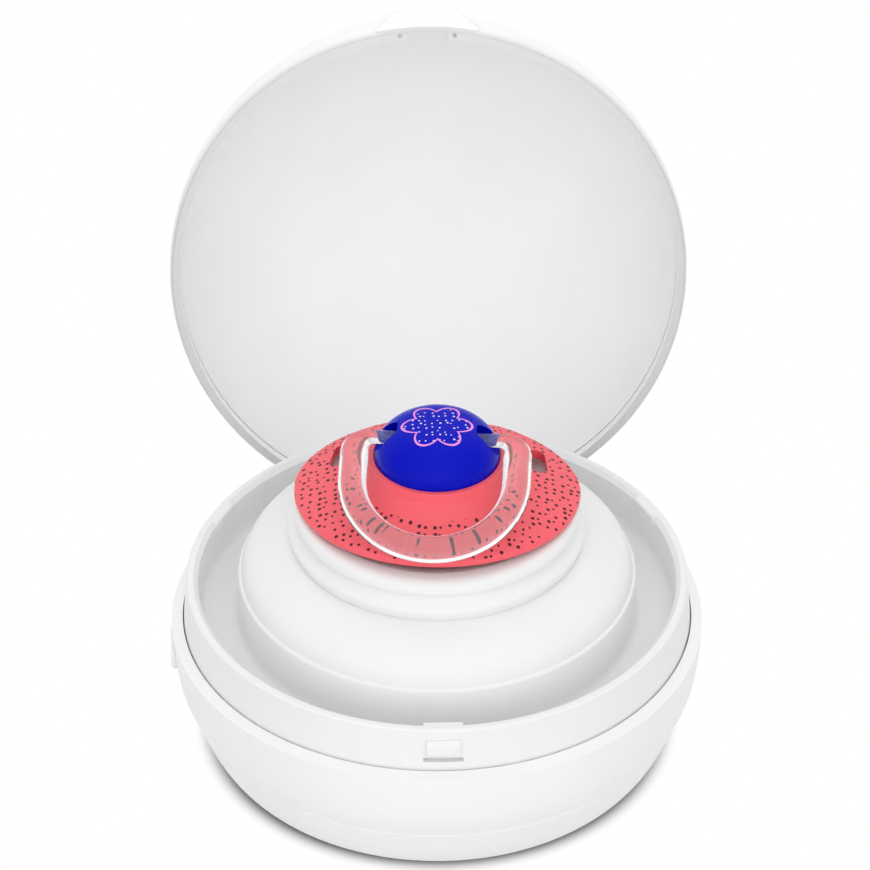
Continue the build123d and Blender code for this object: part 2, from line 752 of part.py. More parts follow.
def main_board():
    """Control board on the cover's posts, with clipped corners."""
    y1 = port_mouth_y() - 2.2
    board = block(-BOARD_W / 2, BOARD_W / 2, board_y0(), y1, BOARD_Z, BOARD_Z + BOARD_T)
    rear = board.edges().filter_by(Axis.Z).group_by(Axis.Y)[-1]
    board = chamfer(rear, 9.0, 11.0)
    front = board.edges().filter_by(Axis.Z).group_by(Axis.Y)[0]
    return one(fillet(front, 1.5) & bowl_body(WALL + FIT, LIP_Z))


def board_parts():
    """Controller, coil and charger chip on the main board."""
    z = BOARD_Z + BOARD_T
    y0 = board_y0()
    chip = block(-12, -5, y0 + 4, y0 + 11, z, z + 1.2)
    coil = Pos(6, y0 + 7, 0) * (
        tube(3.6, 0, z, z + 0.6) + tube(2.6, 0, z, z + 2.8) + tube(3.6, 0, z + 2.8, z + 3.4)
    )
    charger = block(-2.2, 1.2, y0 + 11.5, y0 + 14.5, z, z + 0.9)
    socket = block(11.2, 15.2, y0 + 1.5, y0 + 7.5, z, z + 4.4)
    socket -= block(12.0, 14.4, y0 + 0.5, y0 + 6.5, z + 1.0, z + 3.6)
    return Compound(children=[one(chip), one(coil), one(charger), one(socket)])


def usb_socket():
    """Stadium-section shell of the charging socket with its tongue."""
    y1 = port_mouth_y()
    plane = Plane(origin=(0, y1 - PORT_L, PORT_Z), x_dir=(1, 0, 0), z_dir=(0, 1, 0))
    with BuildPart() as shell:
        with BuildSketch(plane):
            SlotOverall(PORT_W, PORT_H)
        extrude(amount=PORT_L)
        with BuildSketch(plane.offset(1.2)):
            SlotOverall(PORT_W - 0.7, PORT_H - 0.7)
        extrude(amount=PORT_L, mode=Mode.SUBTRACT)
        with BuildSketch(plane.offset(1.0)):
            Rectangle(6.6, 0.7)
        extrude(amount=PORT_L - 2.4)
    return one(shell.part)


def battery_pad():
    """Foam pad between cover and cell."""
    z = FOOT_RISE + WALL
    half_w = CELL_W / 2 - PAD_INSET
    half_l = CELL_L / 2 - PAD_INSET
    return one(block(-half_w, half_w, CELL_Y - half_l, CELL_Y + half_l, z, z + PAD_T))


def battery_cell():
    """Flat pouch cell with its sealed end."""
    z = FOOT_RISE + WALL + PAD_T
    y0 = CELL_Y - CELL_L / 2
    y1 = CELL_Y + CELL_L / 2
    body = block(-CELL_W / 2, CELL_W / 2, y0, y1 - 3, z, z + CELL_H)
    body = fillet(body.edges().filter_by(Axis.Y), 1.6)
    seal = block(-CELL_W / 2 + 1.5, CELL_W / 2 - 1.5, y1 - 3.2, y1, z + 3.4, z + 4.6)
    return one(body + seal)


def button_inner_r():
    """Radius of the inner face of the button's flange."""
    half = BUTTON_L / 2 + BUTTON_FLANGE
    wall = bowl_radius(BUTTON_Z - BUTTON_H / 2 - BUTTON_FLANGE) - WALL - GAP
    return sqrt(wall**2 - half**2) - BUTTON_FLANGE_T


def frame_inner_r():
    """Radius of the inner edge of the frame that holds the button's switch board."""
    return button_inner_r() - BUTTON_TRAVEL - SWITCH_H


def button_switch():
    """Small switch behind the button, on an upright board that closes the frame."""
    face = button_inner_r() - BUTTON_TRAVEL - SWITCH_GAP
    board_face = frame_inner_r()
    half_l = BUTTON_L / 2 + BUTTON_FLANGE + GAP + BUTTON_FRAME
    half_h = BUTTON_H / 2 + BUTTON_FLANGE + GAP + BUTTON_FRAME
    plunger = Pos(face, 0, 0) * Rot(0, -90, 0) * Cylinder(
        1.5, 1.0, align=(Align.CENTER, Align.CENTER, Align.MIN)
    )
    body = block(board_face - 0.1, face - 0.7, -3, 3, -2.6, 2.6)
    board = block(board_face - SWITCH_BOARD_T, board_face, -half_l, half_l, -half_h, half_h)
    return one(AT_BUTTON * (plunger + body + board))


def start_button():
    """Pill button: bevelled face, retaining flange inside the wall."""
    outer_r = bowl_radius(BUTTON_Z)
    inner_r = button_inner_r()
    body = button_tool(BUTTON_L, BUTTON_H, inner_r, outer_r + BUTTON_PROUD)
    far = body.faces().sort_by(lambda f: f.center().dot(BUTTON_DIR))[-1]
    body = chamfer(far.edges(), BUTTON_BEVEL)
    flange = button_tool(
        BUTTON_L + 2 * BUTTON_FLANGE,
        BUTTON_H + 2 * BUTTON_FLANGE,
        inner_r,
        outer_r,
    )
    return one(body + (flange & bowl_body(WALL + GAP, LIP_Z)))


# ---------------------------------------------------------------- charging cover
def usb_flap():
    """Soft cover of the socket: skin that follows the bowl, plug, thumb nick."""
    skin = flap_pocket(0) & bowl_body(0, LIP_Z)
    y0 = bowl_radius(PORT_Z) - FLAP_T
    plug = Plane(origin=(0, y0 + 0.1, PORT_Z), x_dir=(1, 0, 0), z_dir=(0, -1, 0))
    with BuildPart() as plug_part:
        with BuildSketch(plug):
            SlotOverall(PORT_W - 1.4, PORT_H - 1.2)
        extrude(amount=PLUG_L + 0.1)
    return one(skin + plug_part.part)


# ---------------------------------------------------------------- lid (drawn closed)
def lid_body(inset):
    """Dome of the lid moved inward by inset, from the end face to the pole."""
    widest = LID_Z + LID_BAND
    radius = LID_R - inset
    height = LID_DEPTH - LID_BAND - inset

    def profile():
        if inset > 0:
            Line((0, LID_Z - 1), (radius, LID_Z - 1))
            Line((radius, LID_Z - 1), (radius, widest))
        else:
            Line((0, LID_Z), (LID_IN + LID_END_W, LID_Z))
            Bezier(
                (LID_IN + LID_END_W, LID_Z),
                (LID_R, LID_Z + 0.35),
                (radius, widest),
            )
        EllipticalCenterArc((0, widest), radius, height, start_angle=0, arc_size=90)
        Line((0, widest + height), (0, LID_Z - (1 if inset > 0 else 0)))

    return turned(profile)


def hinge_leaf():
    """Leaf that continues the lid down to the barrel round the pin."""
    skin = turned(
        lambda: Polyline(
            (LID_IN - 0.2, LID_Z + 2.4),
            (LID_IN + 1.6, LID_Z + 2.4),
            (LEAF_OUT, LID_Z),
            (HINGE_Y + BARREL_R, HINGE_Z),
            (HINGE_Y + BARREL_R - LEAF_T, HINGE_Z),
            (RIM_R + 0.5, LIP_Z - 2.0),
            (RIM_R + 0.5, LID_Z),
            close=True,
        )
    )
    skin &= block(-LEAF_HALF, LEAF_HALF, 0, LIP_R + 5, 0, LID_Z + 5)
    web = block(-LEAF_HALF, LEAF_HALF, HINGE_Y, HINGE_Y + BARREL_R, HINGE_Z, HINGE_Z + WEB_H)
    barrel = rod(BARREL_R, -LEAF_HALF, LEAF_HALF, HINGE_Y, HINGE_Z)
    relief = rod(BARREL_R + 2, -KNUCKLE_HALF, KNUCKLE_HALF, HINGE_Y, HINGE_Z) & block(
        -LEAF_HALF, LEAF_HALF, 0, HINGE_Y + BARREL_R - LEAF_T, 0, LIP_Z
    )
    leaf = skin + barrel + web - relief
    return leaf - rod(PIN_R + FIT, -LEAF_HALF - 1, LEAF_HALF + 1, HINGE_Y, HINGE_Z)


def lid_closed():
    """Deep one-piece lid with thumb tab, catch notch, witness dimples and hinge leaf."""
    dome = lid_body(0) - lid_body(LID_WALL)
    tab_r = (TAB_OUT**2 + (TAB_W / 2) ** 2) / (2 * TAB_OUT)
    centre = -(LID_R + TAB_OUT - tab_r)
    tab = Pos(0, centre, LID_Z + TAB_UP) * Cylinder(
        tab_r, TAB_T, align=(Align.CENTER, Align.CENTER, Align.MIN)
    )
    tab &= block(-TAB_W, TAB_W, -LID_R - TAB_OUT - 1, -LID_R + 6, 0, LID_Z + 10)
    tab = fillet(tab.edges().filter_by(GeomType.CIRCLE), TAB_ROUND)
    tab -= lid_body(LID_WALL / 2)
    lid = dome + tab
    lid += hinge_leaf() - lid_body(LID_WALL)
    notch_y = -LID_IN - NOTCH_DEEP
    lid -= block(-NOTCH_W / 2, NOTCH_W / 2, notch_y, -LID_IN + 4, LID_Z - 1, LID_Z + NOTCH_H)
    for side in (-1, 1):
        dimple = Pos(side * DIMPLE_X, -sqrt((LID_IN + 0.9) ** 2 - DIMPLE_X**2), LID_Z)
        lid -= dimple * tube(DIMPLE_R, 0, -1, DIMPLE_DEEP)
    lid -= tube(GATE_R, 0, LID_Z + LID_DEPTH - GATE_DEEP, LID_Z + LID_DEPTH + 1)
    inside_top = LID_Z + LID_DEPTH - LID_WALL
    lid -= tube(GATE_R, 0, inside_top - 1, inside_top + GATE_WITNESS)
    return one(lid)


def opened(shape):
    """Turn a shape of the closed lid to the open rest position."""
    return shape.rotate(Axis(PIVOT, (-1, 0, 0)), LID_TURN)


def lid_shell():
    """The lid at its open stop."""
    return one(opened(lid_closed()))


def hinge_pin():
    """Steel pin through the bay's cheeks and the barrel."""
    half = BAY_HALF + BAY_WALL - 0.2
    pin = rod(PIN_R, -half, half, HINGE_Y, HINGE_Z)
    return one(chamfer(pin.edges().filter_by(GeomType.CIRCLE), 0.3))


# ---------------------------------------------------------------- screws
def housing_screws():
    """Three tapping screws up through the cover into the tray's posts."""
    z = SCREW_SEAT_Z
    screws = []
    for azimuth in POST_AZ:
        x, y, _ = polar(POST_PCD_R, azimuth)
        head = tube(SCREW_HEAD_R, 0, z - SCREW_HEAD_H, z)
        head -= Pos(0, 0, z - SCREW_HEAD_H) * (Box(0.6, 2.6, 1.6) + Box(2.6, 0.6, 1.6))
        shank = tube(SCREW_R - FIT, 0, z - 0.1, z + SCREW_LEN)
        screws.append(Pos(x, y, 0) * one(head + shank))
    return Compound(children=screws)


# ---------------------------------------------------------------- soother
def in_seat(shape):
    """Turn a part of the soother as the soother lies in its seat."""
    return Rot(0, 0, SOOTHER_TURN) * shape


def shield_top(radius):
    """Height of the shield's outer face at a radius."""
    return SHIELD_CROWN - SHIELD_DOME_R + sqrt(SHIELD_DOME_R**2 - radius**2)


def shield_outline():
    """Face outline: two half ellipses with a dip for the nose at the back."""
    with BuildSketch() as sketch:
        with BuildLine():
            EllipticalCenterArc(
                (0, SHIELD_WIDE_Y),
                SHIELD_HALF_W,
                SHIELD_FRONT + SHIELD_WIDE_Y,
                start_angle=180,
                arc_size=180,
            )
            EllipticalCenterArc(
                (0, SHIELD_WIDE_Y),
                SHIELD_HALF_W,
                SHIELD_BACK - SHIELD_WIDE_Y,
                start_angle=0,
                arc_size=180,
            )
        make_face()
        with Locations((0, SHIELD_BACK - SHIELD_DIP + SHIELD_DIP_R)):
            Circle(SHIELD_DIP_R, mode=Mode.SUBTRACT)
        corners = sketch.vertices().group_by(Axis.Y)[-1]
        fillet(corners, SHIELD_DIP_R * 0.25)
    return sketch.sketch


def pacifier_shield():
    """Domed shield with two vents and the flared, lipped neck that carries teat and cap."""
    centre = SHIELD_CROWN - SHIELD_DOME_R
    blank = extrude(Pos(0, 0, COLLAR_TOP - 3) * shield_outline(), 12)
    # the spheres lie on their sides, so their poles and seams are clear of the shield
    shell = Rot(0, 90, 0) * (Sphere(SHIELD_DOME_R) - Sphere(SHIELD_DOME_R - SHIELD_T))
    shield = blank & (Pos(0, 0, centre) * shell)
    rim = shield.edges().filter_by(lambda e: e.geom_type != GeomType.LINE)
    shield = fillet(rim, SHIELD_T * 0.4)
    bore = TEAT_NECK_R + SEAT
    with BuildPart() as neck:
        with BuildSketch(Plane.XZ):
            with BuildLine():
                Polyline(
                    (NECK_TOP_R, NECK_TOP - 0.5),
                    (NECK_TOP_R - 0.3, NECK_TOP + NECK_LIP),
                    (CAP_R + SEAT, NECK_TOP + NECK_LIP),
                    (CAP_R + SEAT, NECK_TOP),
                    (bore, NECK_TOP),
                    (bore, SHIELD_CROWN - SHIELD_T + 0.2),
                    (NECK_FLARE - 1, shield_top(NECK_FLARE - 1) - 1.0),
                    (NECK_FLARE, shield_top(NECK_FLARE) - 0.1),
                )
                Spline(
                    (NECK_TOP_R, NECK_TOP - 0.5),
                    (NECK_R, shield_top(NECK_R) + 1.5),
                    (NECK_FLARE, shield_top(NECK_FLARE) - 0.1),
                    tangents=((0.1, -1), (1, -0.3)),
                )
            make_face()
        revolve(axis=Axis.Z)
    shield += neck.part
    shield -= tube(bore, 0, COLLAR_TOP - 5, NECK_TOP + 5)
    shield -= tube(bore + TEAT_FLANGE_W, 0, NECK_TOP - TEAT_FLANGE_T, NECK_TOP + 5)
    for side in (-1, 1):
        with BuildPart() as vent:
            with BuildSketch(Plane.XY.offset(COLLAR_TOP - 4)):
                with Locations((side * VENT_X, VENT_Y)):
                    SlotOverall(VENT_L, VENT_W, rotation=90 + side * VENT_LEAN)
            extrude(amount=14)
        shield -= vent.part
    return one(in_seat(shield))


def pacifier_teat():
    """Soft teat: flange under the cap, stem through the neck, bulb in the well."""
    top = NECK_TOP - 0.1
    flange_r = TEAT_NECK_R + TEAT_FLANGE_W
    root = SHIELD_CROWN - SHIELD_T - 2
    with BuildPart() as part:
        with BuildSketch(Plane.XZ):
            with BuildLine():
                Polyline(
                    (0, top),
                    (flange_r, top),
                    (flange_r, NECK_TOP - TEAT_FLANGE_T),
                    (TEAT_NECK_R, NECK_TOP - TEAT_FLANGE_T),
                    (TEAT_NECK_R, root),
                )
                Spline(
                    (TEAT_NECK_R, root),
                    (TEAT_NECK_R - 0.6, TEAT_TIP_Z + TEAT_LEN * 0.62),
                    (TEAT_BULB_R, TEAT_TIP_Z + TEAT_BULB_R + 0.6),
                    (0, TEAT_TIP_Z),
                    tangents=((0, -1), (-1, 0)),
                )
                Line((0, TEAT_TIP_Z), (0, top))
            make_face()
        revolve(axis=Axis.Z)
    return one(part.part)


def pacifier_cap():
    """Domed cap clipped on the neck: bearing for the handle's bar, open notch at each end."""
    base = NECK_TOP
    with BuildPart() as part:
        with BuildSketch(Plane.XZ):
            with BuildLine():
                Line((0, base), (CAP_R - 0.3, base))
                Line((CAP_R - 0.3, base), (CAP_R, base + 0.4))
                Spline(
                    (CAP_R, base + 0.4),
                    (CAP_R * 0.83, base + CAP_H * 0.68),
                    (0, base + CAP_H),
                    tangents=((-0.03, 1), (-1, 0)),
                )
                Line((0, base + CAP_H), (0, base))
            make_face()
        revolve(axis=Axis.Z)
    cap = part.part
    cap -= rod(RING_BAR_R + 2 * FIT, -CAP_R - 5, CAP_R + 5, 0, RING_PIVOT_Z)
    for side in (-1, 1):
        ends = sorted((side * CAP_NOTCH_X, side * (CAP_R + 5)))
        cap -= rod(CAP_NOTCH_R, ends[0], ends[1], 0, RING_PIVOT_Z)
    return one(in_seat(cap))


def handle_section(x, y, heading, share):
    """Oval across the handle's centre line; share runs from 0 at the bar to 1 at the arm."""
    a = radians(heading)
    radius = RING_BAR_R + 0.1 + (RING_TUBE_R - RING_BAR_R - 0.1) * share
    flat = 0.98 + (RING_FLAT - 0.98) * share
    plane = Plane(origin=(x, y, 0), x_dir=(-sin(a), cos(a), 0), z_dir=(cos(a), sin(a), 0))
    return plane * Ellipse(radius, radius * flat)


def handle_bend():
    """Tapering bend on the left, from the bar's end to the arm."""
    x0 = RING_BEND_R - RING_HALF_W
    sections = [handle_section(x0 + 1, 0, 180, 0)]
    for turn in range(0, 91, 18):
        a = radians(turn)
        x = x0 - RING_BEND_R * sin(a)
        y = RING_BEND_R * (cos(a) - 1)
        sections.append(handle_section(x, y, 180 + turn, sin(a) ** 2))
    sections.append(handle_section(-RING_HALF_W, -RING_BEND_R - 1, 270, 1))
    return loft(sections)


def pacifier_handle():
    """D-shaped ring: slim bar through the cap, tapering bends, oval arms and round front."""
    straight = -(RING_REACH - RING_HALF_W)
    with BuildPart() as part:
        with BuildLine():
            Line((-RING_HALF_W, -RING_BEND_R - 1), (-RING_HALF_W, straight))
            ThreePointArc((-RING_HALF_W, straight), (0, -RING_REACH), (RING_HALF_W, straight))
            Line((RING_HALF_W, straight), (RING_HALF_W, -RING_BEND_R - 1))
        start = Plane(origin=(-RING_HALF_W, -RING_BEND_R - 1, 0), x_dir=(1, 0, 0), z_dir=(0, -1, 0))
        with BuildSketch(start):
            Ellipse(RING_TUBE_R, RING_TUBE_R * RING_FLAT)
        sweep()
    bend = handle_bend()
    bar_half = RING_HALF_W - RING_BEND_R - 0.5
    ring = part.part + bend + mirror(bend, about=Plane.YZ)
    ring += rod(RING_BAR_R, -bar_half, bar_half, 0, 0)
    return one(in_seat(Pos(0, 0, RING_PIVOT_Z) * Rot(RING_DIP, 0, 0) * ring))


# ---------------------------------------------------------------- write the sub-parts
PARTS = {
    "foot_ring": foot_ring,
    "bottom_cover": bottom_cover,
    "outer_shell": outer_shell,
    "inner_tray": inner_tray,
    "seat_collar": seat_collar,
    "well_cup": well_cup,
    "uv_window": uv_window,
    "led_board": led_board,
    "uv_leds": uv_leds,
    "main_board": main_board,
    "board_parts": board_parts,
    "usb_socket": usb_socket,
    "battery_pad": battery_pad,
    "battery_cell": battery_cell,
    "button_switch": button_switch,
    "start_button": start_button,
    "usb_flap": usb_flap,
    "hinge_pin": hinge_pin,
    "housing_screws": housing_screws,
    "lid_shell": lid_shell,
    "pacifier_shield": pacifier_shield,
    "pacifier_teat": pacifier_teat,
    "pacifier_cap": pacifier_cap,
    "pacifier_handle": pacifier_handle,
}


def build():
    """Write every sub-part to its own file."""
    os.makedirs("parts", exist_ok=True)
    for name, make in PARTS.items():
        export_step(make(), f"parts/{name}.step")


if __name__ == "__main__":
    build()
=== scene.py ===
"""Looks for a round clamshell soother case.

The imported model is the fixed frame, in metres: +Z up, the catch faces -Y, the hinge is at +Y.
This script gives every piece its finish, prints the soother, and sets up floor, light and camera.
"""

import logging
import math
from dataclasses import dataclass, field
from enum import Enum
from typing import Optional, Union

import bpy
from mathutils import Matrix, Vector


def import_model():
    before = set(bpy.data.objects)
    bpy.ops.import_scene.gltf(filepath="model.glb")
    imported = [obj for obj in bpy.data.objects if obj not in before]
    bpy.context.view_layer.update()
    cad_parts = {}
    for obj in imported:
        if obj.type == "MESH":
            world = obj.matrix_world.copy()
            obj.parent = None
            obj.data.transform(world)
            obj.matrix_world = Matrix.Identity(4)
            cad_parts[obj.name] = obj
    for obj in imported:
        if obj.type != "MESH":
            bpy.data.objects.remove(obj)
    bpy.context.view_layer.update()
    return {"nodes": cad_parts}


log = logging.getLogger("soother_case")

Colour = tuple[float, float, float]
Place = tuple[float, float, float]
Value = Union[float, bpy.types.NodeSocket]
MM = 0.001
PER_METRE = 1000.0  # a size of 1 mm as a texture scale
WHITE = (1.0, 1.0, 1.0)
BLACK = (0.0, 0.0, 0.0)


# ---------------------------------------------------------------- node helpers
class NodeWriter:
    """Adds and wires nodes in one tree, left to right."""

    COLUMN_WIDTH = 180

    def __init__(self, tree: bpy.types.NodeTree) -> None:
        """Keep the tree that the nodes go into.

        Args:
            tree: a material's or a group's node tree.
        """
        self.tree = tree
        self.column = 0

    def add(self, kind: str, **settings: object) -> bpy.types.Node:
        """Add a node and set its properties.

        Args:
            kind: Blender's type name for the node.
            **settings: properties of the node, by name.

        Returns:
            The new node.
        """
        node = self.tree.nodes.new(kind)
        node.location = (self.column * self.COLUMN_WIDTH, 0)
        self.column += 1
        for name, value in settings.items():
            setattr(node, name, value)
        return node

    def feed(self, socket: bpy.types.NodeSocket, value: object) -> None:
        """Link a socket to another one, or set it to a plain value.

        Args:
            socket: the input.
            value: an output socket, a number or a tuple.
        """
        if isinstance(value, bpy.types.NodeSocket):
            self.tree.links.new(value, socket)
        elif isinstance(value, tuple) and len(value) == 3 and socket.type == "RGBA":
            socket.default_value = (*value, 1.0)
        else:
            socket.default_value = value

    def math(
        self, operation: str, a: Value, b: Value = 0.0, c: Value = 0.0
    ) -> bpy.types.NodeSocket:
        """Add a Math node.

        Args:
            operation: the node's operation.
            a: first input.
            b: second input.
            c: third input, for MULTIPLY_ADD.

        Returns:
            The node's output.
        """
        node = self.add("ShaderNodeMath", operation=operation)
        self.feed(node.inputs[0], a)
        self.feed(node.inputs[1], b)
        if operation == "MULTIPLY_ADD":
            self.feed(node.inputs[2], c)
        return node.outputs[0]

    def band(
        self, value: Value, low: Value, high: Value, first: float = 0.0, last: float = 1.0
    ) -> bpy.types.NodeSocket:
        """Map a value smoothly from low..high to first..last.

        Args:
            value: the value to map.
            low: where the result is first.
            high: where the result is last.
            first: result below low.
            last: result above high.

        Returns:
            The mapped value.
        """
        node = self.add("ShaderNodeMapRange", interpolation_type="SMOOTHSTEP")
        for name, number in (
            ("Value", value),
            ("From Min", low),
            ("From Max", high),
            ("To Min", first),
            ("To Max", last),
        ):
            self.feed(node.inputs[name], number)
        return node.outputs["Result"]

    def mix(self, factor: Value, a: object, b: object) -> bpy.types.NodeSocket:
        """Mix two colours.

        Args:
            factor: 0 gives a, 1 gives b.
            a: first colour.
            b: second colour.

        Returns:
            The mixed colour.
        """
        node = self.add("ShaderNodeMix", data_type="RGBA")
        self.feed(node.inputs["Factor"], factor)
        self.feed(node.inputs["A"], a)
        self.feed(node.inputs["B"], b)
        return node.outputs["Result"]

    def vector_math(
        self, operation: str, output: str, first: object, second: object = None
    ) -> bpy.types.NodeSocket:
        """Add a Vector Math node.

        Args:
            operation: the node's operation.
            output: name of the output to return, Vector or Value.
            first: first input.
            second: second input, where the operation has one.

        Returns:
            The named output.
        """
        node = self.add("ShaderNodeVectorMath", operation=operation)
        self.feed(node.inputs[0], first)
        if second is not None:
            self.feed(node.inputs[1], second)
        return node.outputs[output]

    def split(self, vector: bpy.types.NodeSocket) -> bpy.types.NodeOutputs:
        """Separate a vector and return its X, Y and Z outputs."""
        node = self.add("ShaderNodeSeparateXYZ")
        self.feed(node.inputs[0], vector)
        return node.outputs

    def join(self, x: Value, y: Value, z: Value) -> bpy.types.NodeSocket:
        """Combine three values in a vector."""
        node = self.add("ShaderNodeCombineXYZ")
        for socket, value in zip(node.inputs, (x, y, z)):
            self.feed(socket, value)
        return node.outputs[0]

    def flat(self, parts: bpy.types.NodeOutputs) -> bpy.types.NodeSocket:
        """Return a place's X and Y as a vector with no height."""
        return self.join(parts["X"], parts["Y"], 0.0)

    def bump(
        self,
        height: bpy.types.NodeSocket,
        distance: float,
        strength: float = 1.0,
        normal: Optional[bpy.types.NodeSocket] = None,
    ) -> bpy.types.NodeSocket:
        """Add a Bump node.

        Args:
            height: the height to draw.
            distance: metres for a height of 1.
            strength: the node's strength.
            normal: a bumped normal to build on, or None for the surface's own.

        Returns:
            The bumped normal.
        """
        node = self.add("ShaderNodeBump")
        node.inputs["Strength"].default_value = strength
        node.inputs["Distance"].default_value = distance
        self.feed(node.inputs["Height"], height)
        if normal is not None:
            self.feed(node.inputs["Normal"], normal)
        return node.outputs[0]

    def mix_shaders(
        self, factor: Value, first: bpy.types.Node, second: bpy.types.Node
    ) -> bpy.types.NodeSocket:
        """Mix two shader nodes and return the result; a factor of 0 gives the first."""
        node = self.add("ShaderNodeMixShader")
        self.feed(node.inputs[0], factor)
        self.feed(node.inputs[1], first.outputs[0])
        self.feed(node.inputs[2], second.outputs[0])
        return node.outputs[0]

    def noise(self, vector: Value, size_mm: Value, detail: float = 2.0) -> bpy.types.NodeSocket:
        """Add a noise texture.

        Args:
            vector: place, in metres.
            size_mm: size of the grains in millimetres, or a socket that holds a scale.
            detail: octaves.

        Returns:
            The noise's value, about 0.5 on average.
        """
        node = self.add("ShaderNodeTexNoise")
        scale = size_mm if isinstance(size_mm, bpy.types.NodeSocket) else PER_METRE / size_mm
        self.feed(node.inputs["Vector"], vector)
        self.feed(node.inputs["Scale"], scale)
        self.feed(node.inputs["Detail"], detail)
        return node.outputs[0]


class SharedEffect:
    """A node group with named sockets, built once and placed in many materials."""

    title = "shared effect"
    inputs: tuple[tuple[str, str, object], ...] = ()
    outputs: tuple[tuple[str, str], ...] = ()

    def tree(self) -> bpy.types.NodeTree:
        """Return the group, which is built on its first use."""
        found = bpy.data.node_groups.get(self.title)
        if found:
            return found
        group = bpy.data.node_groups.new(self.title, "ShaderNodeTree")
        for name, kind, default in self.inputs:
            socket = group.interface.new_socket(name, in_out="INPUT", socket_type=kind)
            if default is not None:
                socket.default_value = default
        for name, kind in self.outputs:
            group.interface.new_socket(name, in_out="OUTPUT", socket_type=kind)
        writer = NodeWriter(group)
        source = writer.add("NodeGroupInput")
        results = self.write(writer, source.outputs)
        sink = writer.add("NodeGroupOutput")
        for name, value in results.items():
            writer.feed(sink.inputs[name], value)
        return group

    def write(self, writer: NodeWriter, given: bpy.types.NodeOutputs) -> dict[str, object]:
        """Write the effect's nodes.

        Args:
            writer: writes into the group.
            given: the group's inputs.

        Returns:
            A value for each of the group's outputs.
        """
        raise NotImplementedError

    def place(self, writer: NodeWriter, **values: object) -> bpy.types.NodeOutputs:
        """Put the group in a material.

        Args:
            writer: writes into the material.
            **values: a value or socket for each input, with _ for a space.

        Returns:
            The group node's outputs.
        """
        node = writer.add("ShaderNodeGroup")
        node.node_tree = self.tree()
        for name, value in values.items():
            writer.feed(node.inputs[name.replace("_", " ")], value)
        return node.outputs


class MouldedSkin(SharedEffect):
    """Fine grain, flow clouds and faint handling marks of a moulded surface."""

    title = "moulded skin"
    inputs = (
        ("Vector", "NodeSocketVector", None),
        ("Colour", "NodeSocketColor", None),
        ("Clouding", "NodeSocketFloat", 0.02),
        ("Roughness", "NodeSocketFloat", 0.4),
        ("Grain", "NodeSocketFloat", 2000.0),
    )
    outputs = (
        ("Colour", "NodeSocketColor"),
        ("Roughness", "NodeSocketFloat"),
        ("Height", "NodeSocketFloat"),
    )
    CLOUD_MM = 22.0
    CLOUD_BAND = (0.35, 0.65)
    SMUDGE_MM = 6.0
    SMUDGE_BAND = (0.35, 0.7)
    GLOSS_WANDER = 0.05

    def write(self, writer: NodeWriter, given: bpy.types.NodeOutputs) -> dict[str, object]:
        """Write the effect's nodes.

        Args:
            writer: writes into the group.
            given: the group's inputs.

        Returns:
            Colour, Roughness and Height.
        """
        cloud = writer.noise(given["Vector"], self.CLOUD_MM, 3.0)
        smudge = writer.noise(given["Vector"], self.SMUDGE_MM, 4.0)
        grain = writer.noise(given["Vector"], given["Grain"], 2.0)
        clouded = writer.band(cloud, *self.CLOUD_BAND)
        shade = writer.math("MULTIPLY", clouded, given["Clouding"])
        colour = writer.mix(shade, given["Colour"], BLACK)
        wander = writer.band(smudge, *self.SMUDGE_BAND, -self.GLOSS_WANDER, self.GLOSS_WANDER)
        roughness = writer.math("ADD", given["Roughness"], wander)
        return {"Colour": colour, "Roughness": roughness, "Height": grain}


class PrintedDots(SharedEffect):
    """Irregular printed dots on a plane, some larger than others, with soft ink edges."""

    title = "printed dots"
    inputs = (
        ("Vector", "NodeSocketVector", None),
        ("Spacing", "NodeSocketFloat", 600.0),
        ("Size", "NodeSocketFloat", 0.3),
        ("Share", "NodeSocketFloat", 0.8),
    )
    outputs = (("Mask", "NodeSocketFloat"),)
    RANDOMNESS = 0.6  # of the dots' places
    SMALLEST = 0.75  # of Size
    LARGEST = 1.2
    SHARP_PART = 0.8  # the rest of a dot's radius is its soft edge

    def write(self, writer: NodeWriter, given: bpy.types.NodeOutputs) -> dict[str, object]:
        """Write the effect's nodes.

        Args:
            writer: writes into the group.
            given: the group's inputs.

        Returns:
            Mask, 1 on a dot.
        """
        cells = writer.add("ShaderNodeTexVoronoi", voronoi_dimensions="2D", feature="F1")
        writer.feed(cells.inputs["Vector"], given["Vector"])
        writer.feed(cells.inputs["Scale"], given["Spacing"])
        cells.inputs["Randomness"].default_value = self.RANDOMNESS
        tint = writer.add("ShaderNodeSeparateColor")
        writer.feed(tint.inputs[0], cells.outputs["Color"])
        scatter = writer.band(tint.outputs[0], 0.0, 1.0, self.SMALLEST, self.LARGEST)
        reach = writer.math("MULTIPLY", given["Size"], scatter)
        inner = writer.math("MULTIPLY", reach, self.SHARP_PART)
        dot = writer.band(cells.outputs["Distance"], inner, reach, 1.0, 0.0)
        kept = writer.math("LESS_THAN", tint.outputs[1], given["Share"])
        return {"Mask": writer.math("MULTIPLY", dot, kept)}


